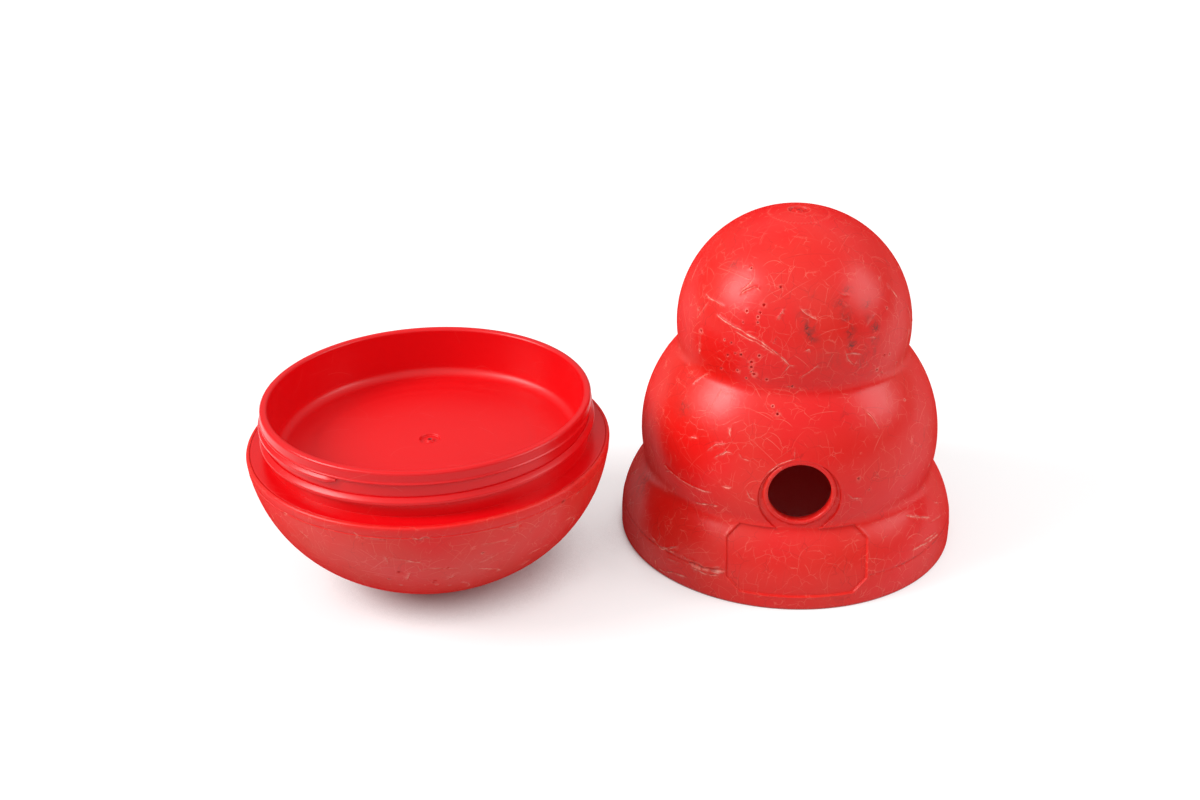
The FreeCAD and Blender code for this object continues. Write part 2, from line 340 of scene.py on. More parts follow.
# %% Furrows and pits
FURROWS = [
    # points as (angle from the front in degrees, height), half width, depth
    ([(-60, 107.5), (-47, 106.6), (-43, 106.2)], 0.25, 0.12),
    ([(-47, 102.9), (-39.5, 101.5), (-32.5, 100.5), (-26, 99.1), (-20, 97.6), (-13.5, 94.7), (-9, 92.2),
     (-6, 89.7)], 0.35, 0.22),
    ([(-34.5, 99.5), (-26, 97.6), (-22, 97.2), (-13, 93.7)], 0.35, 0.2),
    ([(-9, 87.2), (-6.5, 89.7), (-3.5, 90.2)], 0.3, 0.2), ([(-13, 100), (-14.5, 97.1)], 0.3, 0.2),
    ([(19.5, 94.7), (21, 91.2), (23.5, 89.2), (27, 87.7)], 0.3, 0.2), ([(24, 87.6), (26, 90)], 0.3, 0.2),
    ([(-8, 81.4), (-5.5, 81.3), (-2.5, 80.9)], 0.3, 0.2), ([(0, 95.6), (2.4, 96.1), (3, 94.2)], 0.25, 0.15),
    ([(-28, 66.2), (-28.5, 64.4), (-27.5, 62.1)], 0.3, 0.2),
    ([(-36.5, 55.5), (-33.5, 58.8), (-29.5, 60.3)], 0.3, 0.2),
    ([(-31, 55), (-28.5, 57.4), (-26, 57.4)], 0.35, 0.25),
    ([(-23.5, 57.9), (-22, 56.4), (-19, 56)], 0.3, 0.2), ([(-45.5, 57.9), (-41.5, 58.8)], 0.35, 0.2),
    ([(-58.5, 41.6), (-54, 40.6), (-48, 39.7), (-43, 39.2), (-37.5, 39.2), (-33, 39.8)], 0.45, 0.35),
    ([(-57, 39.1), (-52.5, 41.1)], 0.3, 0.2), ([(-29, 43.6), (-27, 44.0), (-24.5, 44.6)], 0.7, 0.15),
    ([(21, 50.1), (22.5, 48.6)], 0.45, 0.3), ([(69.5, 101.5), (72.5, 94.2), (66.5, 88.7)], 0.5, 0.35),
    ([(28, 71.8), (30.5, 69.3), (33, 64.4)], 0.25, 0.12),
    ([(-60.5, 97.6), (-57, 102), (-54.5, 106.2)], 0.25, 0.12), ([(-55, 84.7), (-54.5, 93.7)], 0.3, 0.2),
    ([(-37, 11.6), (-33.5, 11.2), (-28, 11.9), (-23.5, 13.0)], 1.2, 0.5),
    ([(-36, 10.0), (-31, 9.4), (-25.5, 10.4)], 0.35, 0.3),
    ([(-42, 32.2), (-38, 32.6), (-35.5, 33.7), (-30, 34.6)], 0.45, 0.3),
    ([(-55.5, 13.3), (-50.5, 11.3), (-46, 13.2), (-42.5, 15.6)], 0.35, 0.25),
    ([(-50.5, 10.8), (-46.5, 12.3), (-42, 13.2)], 0.35, 0.25),
    ([(-52.5, 5.3), (-51.5, 2.4), (-48.5, 2.0), (-43, 4.3), (-37.5, 4.8)], 0.35, 0.25),
    ([(45, 26.7), (50.5, 24.2), (58, 20.8)], 0.35, 0.2), ([(50, 25.8), (50.3, 22.8)], 0.35, 0.2),
    ([(43, 14.7), (48.5, 14.4), (57, 13.4), (61, 12.9)], 0.35, 0.25), ([(50, 15.4), (59, 14.6)], 0.3, 0.2),
    ([(-19.3, 44.6), (-17.8, 41.6), (-15.6, 40.6)], 0.3, 0.2),
    ([(-14.5, 48.4), (-12.3, 52.3), (-8.5, 55.9), (-2.5, 58.2)], 0.25, 0.15),
    ([(-2.5, 61.2), (-2.5, 58.2)], 0.25, 0.15), ([(17.5, 43.6), (19.5, 41.6), (23.5, 40.8)], 0.3, 0.2),
    ([(-33, 54), (-30, 56.4), (-28.5, 56)], 0.35, 0.25),
    ([(-40.5, 13.3), (-38, 12.4), (-34, 12.9)], 0.3, 0.2),
]
# angle from the front, height
PITS = [(-30.5, 102.9), (-35, 94.7), (-36.5, 89.7), (-40, 83.4), (-32.5, 91.2), (-29.5, 91.2), (-24, 89.2),
        (-24, 87.2), (-24, 85.4), (-22.6, 84.6), (-31, 84.7), (-26.5, 82.4), (-16.5, 83.2), (-20.5, 92.2),
        (-39, 95.1), (-54.5, 94.7), (-22.5, 107.1), (-23, 103.8), (38.5, 83.7), (42.5, 88.7), (46.5, 88.2),
        (54.5, 82.4), (68.5, 98.6), (63, 92.7), (47.5, 105.2), (-35.5, 119.5), (-54.5, 87.2), (21.5, 49.1),
        (26, 43.6), (76, 104), (78, 98), (74, 91), (80, 95), (-84.5, 23.4), (-85.5, 19.4)]
SLIM = 0.62  # the real furrows are this much slimmer than they look with their bright burrs


def scattered(seed, count, turn_range, z_range):
    """More furrows and pits for the sides and the back."""
    rng = np.random.default_rng(seed)
    furrows = []
    for _ in range(count):
        a, z = rng.uniform(*turn_range), rng.uniform(*z_range)
        heading, bend = rng.uniform(0, math.pi), rng.normal(0, 0.35)
        points = [(a, z)]
        for _ in range(rng.integers(2, 7)):
            heading += bend * rng.uniform(0, 1)
            a += 2.2 * math.cos(heading)
            z += 1.5 * math.sin(heading)
            points.append((a, z))
        furrows.append((points, rng.uniform(0.18, 0.36), rng.uniform(0.1, 0.25)))
    pits = [(rng.uniform(*turn_range), rng.uniform(*z_range)) for _ in range(count)]
    return furrows, pits


def furrow_track(skin, points, seed):
    """A furrow as close points (angle, s), a little ragged."""
    turn = np.radians([p[0] for p in points])
    s = skin.s_at(np.array([p[1] for p in points], float))
    way = np.r_[0, np.cumsum(np.hypot(np.diff(turn) * skin.r(s)[1:], np.diff(s)))]
    t = np.linspace(0, way[-1], max(5, round(way[-1] / 0.4)))
    rng = np.random.default_rng(seed)
    wobble = np.convolve(rng.normal(0, 0.2, len(t) + 4), np.ones(5) / 5, "valid")
    width = np.clip(np.convolve(rng.uniform(0.2, 1.7, len(t) + 4), np.ones(5) / 5, "valid"), 0.4, 1.4)
    width *= np.clip(np.minimum(t, way[-1] - t) / 1.5, 0.1, 1)
    return np.interp(t, way, turn), np.interp(t, way, s) + wobble, width


def tracks_of(skin, furrows):
    return [(*furrow_track(skin, points, k), SLIM * half, depth)
            for k, (points, half, depth) in enumerate(furrows)]


side_furrows, side_pits = scattered(11, 75, (75, 285), (2, 118))
more_furrows, more_pits = scattered(12, 28, (-75, 75), (8, 118))
clear_of_field = [f for f in more_furrows if not (abs(f[0][0][0]) < 32 and f[0][0][1] < 62)]
shell_tracks = tracks_of(outer, FURROWS + side_furrows + clear_of_field)
shell_pits = PITS + side_pits + [p for p in more_pits[:14] if p[1] > 62]
print(len(shell_tracks), "furrows,", len(shell_pits), "pits")

# %% [markdown]
# ## Points for the marks
# Each furrow brings seven lines of points, across the groove and both its burrs, and each
# pit four small rings. So the mesh is as fine as 0.2 mm there and coarser elsewhere.

# %% Lay the points of the marks
ACROSS = (-1.9, -1.2, -0.6, 0.0, 0.6, 1.2, 1.9)


def add_marks(points, tracks, pits):
    skin = points.skin
    for turn, s, width, half, _ in tracks:
        r = skin.r(s)
        along = np.c_[np.gradient(turn) * r, np.gradient(s)]
        along /= np.hypot(*along.T)[:, None]
        for a in ACROSS:
            off = a * half * np.maximum(width, 0.4)
            points.add(turn - off * along[:, 1] / r, s + off * along[:, 0])
    for angle, z in pits:
        s = float(skin.s_at(z))
        for ring, n in ((0.0, 1), (0.22, 6), (0.42, 10), (0.62, 12), (0.85, 12)):
            a = np.arange(n) / n * TURN_ROUND + ring
            points.add(math.radians(angle) + ring * np.cos(a) / skin.r(s), s + ring * np.sin(a))


# %% [markdown]
# ## Cutting the marks
# A mark is a depth for each point. A furrow is a rounded groove with a burr on either
# side, a pit a small bowl with a raised rim. Two more values stay on each point for the
# material: how scarred it is, as torn plastic turns pale and more so on one side of a
# groove, and how dark it is painted, as painted shade along a groove's bottom and in a pit.

# %% Push in furrows and pits


def near_track(skin, turn, s, track_turn, track_s, reach):
    """Which points are near a track, how far to its left or right, and the nearest track point."""
    r = skin.r(s)
    gap = wrap(turn - track_turn.mean())
    span = np.ptp(track_turn) / 2 * r + reach + 2
    along = (s > track_s.min() - reach) & (s < track_s.max() + reach)
    index = np.where((np.abs(gap * r) < span) & along)[0]
    du = wrap(turn[index, None] - track_turn[None, :]) * r[index, None]
    ds = s[index, None] - track_s[None, :]
    far = np.hypot(du, ds)
    nearest = far.argmin(1)
    pick = np.arange(len(index)), nearest
    if len(track_s) == 1:
        return index, far[pick], nearest
    heading = np.arctan2(np.gradient(track_s)[nearest], np.gradient(track_turn)[nearest] * r[index])
    side = np.sign(du[pick] * np.sin(heading) - ds[pick] * np.cos(heading))
    return index, side * far[pick], nearest


def near_spot(skin, turn, s, angle, height, reach):
    """Which points are near one spot, and how far from it."""
    at = skin.s_at(np.array([float(height)]))
    return near_track(skin, turn, s, np.radians([angle]), at, reach)[:2]


def bell(x, middle, width):
    return np.exp(-((x - middle) / width) ** 2)


def cut_marks(skin, turn, s, depth, tracks, pits, seed):
    """Cuts all marks into depth, and returns how scarred each point is and how much painted shade it gets in
    grooves and pits.
    """
    rng = np.random.default_rng(seed)
    scar, soil = np.zeros(len(turn)), np.zeros(len(turn))
    for track_turn, track_s, width, half, cut in tracks:
        ragged = np.convolve(rng.uniform(-0.5, 1.6, len(track_turn) + 6), np.ones(7) / 7, "valid")
        torn = np.clip(ragged, 0.1, 1)
        index, off, nearest = near_track(skin, turn, s, track_turn, track_s, 2.5)
        far = np.abs(off)
        w = half * np.maximum(width[nearest], 0.4)
        share = np.minimum(width[nearest], 1.0)
        groove = np.clip(1 - (far / w) ** 2, 0, 1)
        burr = bell(far, 1.35 * w, 0.45 * w)
        depth[index] += cut * share * (groove - 0.45 * burr)
        white = bell(off, 0.8 * w, 0.5 * w + 0.05) + 0.35 * bell(off, -w, 0.4 * w)
        scar[index] = np.maximum(scar[index], torn[nearest] * share * white)
        # painted shade along the bottom of the groove
        darkening = min(2.5 * cut, 0.9) * share * bell(off, -0.2 * w, 0.4 * w)
        soil[index] = np.maximum(soil[index], darkening)
    for angle, height in pits:
        index, far = near_spot(skin, turn, s, angle, height, 2.0)
        w = rng.uniform(0.35, 0.62)
        rim = bell(far, 1.25 * w, 0.16)
        depth[index] += 1.2 * w * np.clip(1 - (far / w) ** 2, 0, 1) - 0.08 * rim
        scar[index] = np.maximum(scar[index], rng.uniform(0.0, 0.4) * rim)
        # painted shade inside the pit
        soil[index] = np.maximum(soil[index], 0.75 * bell(far, 0, 0.75 * w))
    print("deepest mark", round(float(depth.max()), 2), "mm, scarred points", int((scar > 0.3).sum()))
    return scar, soil


# %% Gather the points of the shell's outside
SPACING = 1.35
PARTING_Z = 11.3
RIM_COUNT = 320
GATE_ROWS = (0.3, 0.55, 0.7, 0.95, 1.25, 1.36, 1.48, 1.6, 2.0, 2.4, 2.8, 3.2, 3.6, 3.76, 3.88, 4.0,
             4.2, 4.6, 5.0)
LINE_ROWS = (-0.7, -0.45, -0.25, -0.05, 0.1, 0.25, 0.4, 0.6, 0.8)


def crown_way(r):
    """Way along the outline at which the top ball has radius r."""
    return outer.s[-1] - TOP_R * math.asin(r / TOP_R)


shell_points = Points(outer)
shell_points.row(0.0, SPACING, count=RIM_COUNT)
parting_way = float(outer.s_at(PARTING_Z))
# more rows round the rim's bend, the parting line and the crown's circle
special = [1.4, 2.8, 3.1, 3.4, 3.7, 4.0, 4.2] + [parting_way + d for d in LINE_ROWS]
special += [crown_way(r) for r in (11.7, 11.45, 11.3, 11.1, 10.9, 10.7, 10.4)]
shell_points.rows(special, 5.2, crown_way(5.6), SPACING)
for r in GATE_ROWS[::-1]:
    shell_points.row(crown_way(r), 0.32)
print("row points", shell_points.count)

# %% Clear the front and lay loops along the recess and the bead


def near_recess(turn, s):
    x, z = outer.r(s) * np.sin(turn), outer.z(s)
    return (recess_distance(x, z) < 0.75) & (np.cos(turn) > 0)


shell_points.drop(near_recess)
for inset in (-0.45, -0.2, -0.06, 0.06, 0.15, 0.24, STEP_W, 0.5):
    shell_points.add(*front(outer, *recess_loop(inset).T), closed=True)
grid_x, grid_z = [g.ravel() for g in np.meshgrid(np.arange(-26, 26.1, 0.9), np.arange(5, 58, 0.9))]
from_hole = np.hypot(grid_x, grid_z - HOLE_Z)
keep = (recess_distance(grid_x, grid_z) < -0.9) & (from_hole > HOLE_R + 2 * BEAD_R + 0.3)
shell_points.add(*front(outer, grid_x[keep], grid_z[keep]))
for t in bead_rows:
    x = (HOLE_R + t) * np.cos(around)
    z = HOLE_Z + (HOLE_R + t) * np.sin(around)
    keep = recess_distance(x, z) < -0.55
    shell_points.add(*front(outer, x[keep], z[keep]), closed=bool(keep.all()))
add_marks(shell_points, shell_tracks, shell_pits)
turn, s, faces = shell_points.mesh()
print("outside:", len(turn), "points,", len(faces), "faces")

# %% [markdown]
# ## What the mould left on the shell
# The field and ring are sunk 0.9 mm. Where two parts of the mould met, a thin line runs
# round the skirt, and beside the field short upright lines show the loose insert. On the
# crown the plastic was let in: a sunk ring with a nub and four pips, and a faint circle.
# Each is a smooth step or a bell across its line, as a depth in millimetres.

# %% Push in the recess, the bead, the lines and the gate mark
# x from the middle, low and high z
INSERT_LINES = [(-15.5, 29, 41), (15.5, 29, 41), (-27.4, 0.8, 10), (27.6, 0.8, 10)]
GATE_R, NUB_R, PIN_R = 4.0, 1.3, 0.68
PIPS, PIP_AT = 4, 2.7
CIRCLE_R = 10.9


def smooth(t):
    t = np.clip(t, 0, 1)
    return t * t * (3 - 2 * t)


def mould_line(off):
    """A fine burr with a hollow beside it, as depth across a line."""
    return 0.22 * bell(off, 0.2, 0.22) - 0.12 * bell(off, -0.25, 0.2)


def gate_depth(x, y, pips):
    """The round mark where the plastic was let in: a sunk ring, a nub with a hole, and pips."""
    r = np.hypot(x, y)
    depth = 0.9 * smooth((GATE_R - r) / 0.25) * smooth((r - NUB_R) / 0.25)
    depth += 0.2 * (r < NUB_R) + 1.7 * (r < PIN_R)
    for k in range(pips):
        a = math.pi / 4 + k * TURN_ROUND / pips
        off_pip = np.hypot(x - PIP_AT * math.cos(a), y - PIP_AT * math.sin(a))
        depth -= 0.65 * np.exp(-(off_pip / 0.42) ** 4)
    return depth


x, z = outer.r(s) * np.sin(turn), outer.z(s)
y = -outer.r(s) * np.cos(turn)
apart = np.where(y < 0, recess_distance(x, z), 50.0)
depth = FIELD_DEPTH * smooth(-apart / STEP_W)
depth -= 0.07 * bell(apart, 0.2, 0.16)
t = np.where(y < 0, np.hypot(x, z - HOLE_Z) - HOLE_R, 50.0)
bead = BEAD_R * np.sqrt(np.clip(1 - ((t - BEAD_R) / BEAD_R) ** 2, 0, 1))
depth = np.where(bead > 0, np.maximum(depth - bead, np.minimum(depth, 0.02)), depth)
depth += mould_line(s - parting_way) * (apart > 0.6)
for at, low, high in INSERT_LINES:
    ends = smooth((z - low) / 1.0) * smooth((high - z) / 1.0) * (y < 0) * (apart > 0.3)
    depth -= 0.06 * ends * bell(x, at, 0.45)
crown = z > 125
circle = 0.16 * bell(np.hypot(x, y), CIRCLE_R, 0.2) - 0.1 * bell(np.hypot(x, y), CIRCLE_R + 0.4, 0.2)
depth += np.where(crown, gate_depth(x, y, PIPS) + circle, 0)
scar, soil = cut_marks(outer, turn, s, depth, shell_tracks, shell_pits, 5)

# %% [markdown]
# ## Dirt, and painted shade and highlight on the crown
# Dark grey smudges sit in the scratches on the right of the top lobe, and small ones
# elsewhere. The crown's moulding mark gets painted shade in its pin hole and inside its
# sunk ring's outer wall, and a painted highlight on the ring's rim and along its faint circle.
# Where the dirt and the painted shade may lie is stored on the points, softly. Its fine
# broken shape comes from the material.

# %% Where the dirt, the painted shade and the painted highlight lie
# angle from the front, height, size, strength
SMUDGES = [(-1.5, 107.5, 2.0, 0.7), (2.2, 102.4, 2.2, 1.1), (4.6, 99.6, 1.7, 0.9), (0.5, 104.6, 1.6, 0.9),
           (3, 113.8, 1.4, 0.5), (18.5, 110.2, 2.6, 0.6), (20.5, 106.6, 2.6, 0.5), (25, 114, 1.8, 0.6),
           (23, 101.0, 1.9, 1), (22.8, 96.6, 2.0, 1), (34.5, 108.9, 1.8, 0.6), (34, 103.8, 1.8, 0.6),
           (37, 100.4, 1.8, 0.9), (36.3, 95.8, 2.0, 0.9), (36, 92, 1.6, 0.5),
           (13, 91.7, 6, 0.2), (30, 90, 7, 0.25), (-53.5, 65.8, 3, 0.5), (-49.5, 119, 3, 0.35),
           (-75, 25, 7, 0.35), (120, 96, 5, 0.5), (168, 60, 6, 0.4), (215, 100, 4, 0.6), (250, 30, 7, 0.4)]
crown_r = np.hypot(x, y) + 50 * ~crown
# painted highlight: pale lines on the rim of the crown's sunk gate ring and along its faint circle
scar = np.maximum(scar, 0.12 * bell(crown_r, CIRCLE_R + 0.25, 0.2) + 0.12 * bell(crown_r, GATE_R + 0.15, 0.2))
# painted shade: dark in the gate's pin hole and inside the outer wall of its sunk ring
soil = np.maximum(soil, 1.3 * bell(crown_r, 0, 0.75) + 0.4 * bell(crown_r, GATE_R - 0.45, 0.35))
for angle, height, size, strength in SMUDGES:
    index, far = near_spot(outer, turn, s, angle, height, 3 * size)
    soil[index] = np.maximum(soil[index], strength * bell(far, 0, size))
soil = np.maximum(soil, 0.5 * bell(s - parting_way, 0.2, 0.25) * (apart > 0.6))
print("soiled points", int((soil > 0.2).sum()))

# %% [markdown]
# ## The inside of the shell and its assembly
# The inside is smooth, so it needs few points. Its circle round the hole has the same
# number of points as the outside's, and a strip of faces between the two is the hole's
# wall. Both skins share the ring at the rim and are welded there.

# %% Inside skin
inner_points = Points(inner)
inner_points.row(0.0, 3, count=RIM_COUNT)
inner_points.rows([3.5, 8, 12, 13.55, 14.4, 16.5, 18.2, 19.6], 21.0, inner.s[-1] - 3, 2.8)
rim_rows = inner_points.edges[:RIM_COUNT]
inner_points.drop(lambda turn, s: off_hole(inner, turn, s) < HOLE_R + 1.2)
inner_points.edges = rim_rows
inner_points.add(*front(inner, HOLE_R * np.cos(around), HOLE_Z + HOLE_R * np.sin(around)), closed=True)
inner_turn, inner_s, inner_faces = inner_points.mesh()
print("inside:", len(inner_turn), "points,", len(inner_faces), "faces")

# %% Weld two skins into one moulding
WELD = 0.001 * MM
NEAR = 0.01


def new_object(name, data):
    made = bpy.data.objects.new(name, data)
    bpy.context.scene.collection.objects.link(made)
    return made


def new_mesh(name, points, edges=(), faces=()):
    mesh = bpy.data.meshes.new(name)
    mesh.from_pydata(points, edges, faces)
    return mesh


def clean(piece):
    """Merges doubles, turns the faces outwards and shades them smooth."""
    bm = bmesh.new()
    bm.from_mesh(piece.data)
    bmesh.ops.remove_doubles(bm, verts=bm.verts, dist=2 * WELD)
    bmesh.ops.recalc_face_normals(bm, faces=bm.faces)
    open_edges = sum(1 for e in bm.edges if not e.is_manifold)
    volume = bm.calc_volume(signed=True)
    if volume < 0:
        bmesh.ops.reverse_faces(bm, faces=bm.faces)
    bm.to_mesh(piece.data)
    bm.free()
    piece.data.shade_smooth()
    print(piece.name, len(piece.data.polygons), "faces, open edges", open_edges,
          "volume", round(abs(volume) * 1e6, 1), "cm3")


def two_skins(name, outside, inside, wall=(), **layers):
    """A closed moulding from its outside and inside, each as (skin, turn, s, depth, faces)."""
    placed, all_faces, offset = [], list(wall), 0
    for skin, turn, s, depth, faces in (outside, inside):
        placed.append(skin.place(turn, s, depth))
        all_faces += (faces + offset).tolist()
        offset += len(turn)
    mesh = new_mesh(name, (np.vstack(placed) * MM).tolist(), faces=all_faces)
    for label, values in layers.items():
        layer = mesh.attributes.new(label, "FLOAT", "POINT")
        layer.data.foreach_set("value", np.r_[values, np.zeros(offset - len(values))].astype(np.float32))
    piece = new_object(name, mesh)
    clean(piece)
    return piece


def outside_hole(skin, turn, s, faces):
    """Leaves out the faces that would close the hole."""
    at = off_hole(skin, turn, s) < HOLE_R + NEAR
    return faces[~at[faces].all(1)]


def hole_circle(skin, turn, s):
    """Points of the hole's circle in order."""
    at = np.where(np.abs(off_hole(skin, turn, s) - HOLE_R) < NEAR)[0]
    x, z = skin.r(s[at]) * np.sin(turn[at]), skin.z(s[at]) - HOLE_Z
    return at[np.argsort(np.arctan2(z, x))]


a = hole_circle(outer, turn, s)
b = hole_circle(inner, inner_turn, inner_s) + len(turn)
hole_wall = [(int(a[k - 1]), int(a[k]), int(b[k]), int(b[k - 1])) for k in range(AROUND)]
print("hole circle", len(a), "and", len(b), "points")
faces = outside_hole(outer, turn, s, faces)
inner_faces = outside_hole(inner, inner_turn, inner_s, inner_faces)
shell = two_skins("shell_moulding", (outer, turn, s, depth, faces),
                  (inner, inner_turn, inner_s, 0.0, inner_faces), hole_wall, scar=scar, soil=soil)

# %% [markdown]
# ## One small helper for nodes
# Every material and every Geometry Nodes tree below is built with add. It adds a node,
# changes its settings and fills its inputs, by name or in their order: a number or colour
# is set on the socket, a node or socket is linked to it. A kind is the end of Blender's
# name for it, and may be followed by its operation. A MapRange takes the value, the low
# and high it comes from, and the low and high it goes to.

# %% Add a node


def fill(tree, node, inputs):
    for key, value in inputs.items() if isinstance(inputs, dict) else enumerate(inputs):
        if isinstance(value, bpy.types.Node):
            value = next(socket for socket in value.outputs if socket.enabled)
        if isinstance(value, bpy.types.NodeSocket):
            tree.links.new(value, node.inputs[key])
        else:
            node.inputs[key].default_value = value


def add(tree, kind, inputs=(), **settings):
    kind, _, operation = kind.partition(" ")
    names = ("ShaderNode" + kind, "GeometryNode" + kind, kind)
    node = tree.nodes.new(next(name for name in names if hasattr(bpy.types, name)))
    if operation:
        settings["operation"] = operation
    for key, value in settings.items():
        setattr(node, key, value)
    fill(tree, node, inputs)
    return node


def new_tree(name, inputs):
    """A node tree with a geometry input and output and the named inputs."""
    tree = bpy.data.node_groups.new(name, "GeometryNodeTree")
    sockets = {"Geometry": "Geometry", **inputs, "Axis": "Vector", "Material": "Material"}
    for label, kind in sockets.items():
        tree.interface.new_socket(label, in_out="INPUT", socket_type="NodeSocket" + kind)
    tree.interface.new_socket("Geometry", in_out="OUTPUT", socket_type="NodeSocketGeometry")
    return tree, tree.nodes.new("NodeGroupInput").outputs


def end_tree(tree, geometry, material):
    """Makes the instances real, gives them the material and ends the tree."""
    real = add(tree, "RealizeInstances", (geometry,))
    finish = add(tree, "SetMaterial", {"Geometry": real, "Material": material})
    add(tree, "NodeGroupOutput", (finish,))
    print(tree.name, "has", len(tree.nodes), "nodes")


def run(name, start, tree, values):
    """Runs a tree on a start mesh and returns a piece with the finished plain mesh."""
    holder = new_object(name + "_start", start)
    modifier = holder.modifiers.new(tree.name, "NODES")
    modifier.node_group = tree
    for item in tree.interface.items_tree:
        if item.in_out == "INPUT" and item.name in values:
            modifier[item.identifier] = values[item.name]
    graph = bpy.context.evaluated_depsgraph_get()
    mesh = bpy.data.meshes.new_from_object(holder.evaluated_get(graph))
    bpy.data.objects.remove(holder)
    mesh.name = name
    piece = new_object(name, mesh)
    clean(piece)
    return piece


# %% [markdown]
# ## Moulded polypropylene
# Both halves are tough polypropylene, coloured right through and moulded against a fine
# satin steel face. It looks soft and a little waxy: broad highlights, deep red in the
# hollows. Handling scratches it with fine pale bent lines, teeth leave whitened furrows,
# and old surfaces fade. Each of these is its own small chain of nodes.

# %% Colours, blotches and scratches


def linear(code):
    """An sRGB hex colour as linear values, with an alpha of 1."""
    parts = [int(code[k:k + 2], 16) / 255 for k in (1, 3, 5)]
    return (*(v / 12.92 if v <= 0.04045 else ((v + 0.055) / 1.055) ** 2.4 for v in parts), 1.0)


def new_material(name):
    material = bpy.data.materials.new(name)
    material.use_nodes = True
    tree = material.node_tree
    return material, tree, tree.nodes["Principled BSDF"]


def in_millimetres(tree):
    """Object coordinates in millimetres, so that each pattern size is a real one."""
    here = add(tree, "TexCoord").outputs["Object"]
    return add(tree, "Mapping", {"Vector": here, "Scale": (1000, 1000, 1000)})


def blotches(tree, mm, size, low, high, detail=2.0):
    """Soft patches from 0 to 1."""
    noise = add(tree, "TexNoise", {"Vector": mm, "Scale": 1 / size, "Detail": detail})
    return add(tree, "MapRange", (noise, low, high))


def arc_scratches(tree, mm, half_width, cell, tightest, widest, share):
    """Bent scratches: each cell of a Voronoi pattern holds one arc with a bend of its own."""
    facing = add(tree, "NewGeometry").outputs["Normal"]
    cells = add(tree, "TexVoronoi", {"Vector": mm, "Scale": 1 / cell})
    middle = cells.outputs["Position"]
    chance = add(tree, "TexWhiteNoise", {"Vector": middle}).outputs
    away = add(tree, "VectorMath SUBTRACT", (mm, middle))
    off_surface = add(tree, "VectorMath PROJECT", (away, facing))
    flat = add(tree, "VectorMath SUBTRACT", (away, off_surface))
    heading = add(tree, "VectorMath SUBTRACT", (chance["Color"], (0.5, 0.5, 0.5)))
    across = add(tree, "VectorMath CROSS_PRODUCT", (heading, facing))
    unit = add(tree, "VectorMath NORMALIZE", (across,))
    bend = add(tree, "MapRange", (cells.outputs["Color"], 0.2, 0.8, tightest, widest))
    centre = add(tree, "VectorMath SCALE", {0: unit, "Scale": bend})
    spoke = add(tree, "VectorMath SUBTRACT", (flat, centre))
    reach = add(tree, "VectorMath LENGTH", (spoke,))
    beside = add(tree, "Math SUBTRACT", (reach, bend))
    off = add(tree, "Math ABSOLUTE", (beside,))
    line = add(tree, "MapRange", (off, half_width, 0.0))
    length = add(tree, "VectorMath LENGTH", (flat,))
    ends = add(tree, "MapRange", (length, 0.52 * cell, 0.3 * cell))
    shown = add(tree, "MapRange", (chance["Value"], 1 - share, 1.0))
    faint = add(tree, "Math MULTIPLY", (line, ends))
    return add(tree, "Math MULTIPLY", (faint, shown))


def many_scratches(tree, mm, half_width, layers):
    """Several sizes of bent scratches over each other, each as (cell, tightest, widest, share)."""
    pale = 0.0
    for layer in layers:
        pale = add(tree, "Math MAXIMUM", (pale, arc_scratches(tree, mm, half_width, *layer)))
    return pale


# %% Cracks, and one colour over another


def crackle(tree, mm, size, half_width):
    """A broken network of fine cracks: the edges between the cells of a bent Voronoi pattern."""
    noise = add(tree, "TexNoise", {"Vector": mm, "Scale": 1 / (0.7 * size)}).outputs["Color"]
    push = add(tree, "VectorMath MULTIPLY_ADD", (noise, (0.5 * size,) * 3, mm))
    edge = add(tree, "TexVoronoi", {"Vector": push, "Scale": 1 / size}, feature="DISTANCE_TO_EDGE")
    line = add(tree, "MapRange", (edge, half_width / size, 0.0))
    return add(tree, "Math MULTIPLY", (line, blotches(tree, mm, 1.3 * size, 0.47, 0.6)))


def cover(tree, colour, where, share, code):
    """Lays a new colour over the old one where a pattern says, no more strongly than share."""
    amount = add(tree, "Math MULTIPLY", (where, share))
    return add(tree, "Mix", {0: amount, 6: colour, 7: linear(code)}, data_type="RGBA")


# %% [markdown]
# ## The red and its wear
# The fresh red is almost without green and blue, so the hollows stay deep. Paleness comes
# from the gloss, the fading, the scratches and a painted highlight on the crown's moulding
# mark. The scratches are 0.1 mm wide on the real toy, and are drawn 0.3 mm wide here so
# that the picture can show them. On top of them come whitened bites, dark dirt, and painted
# shade in furrows, pits and the crown's moulding mark, where the mesh says that they are.
# Seen from the side the fine scuffs hide each other, so there the gloss gets duller and weaker.

# %% Red plastic that a dog has chewed
SCRATCH_HALF = 0.15
PLASTIC_IOR = 1.49


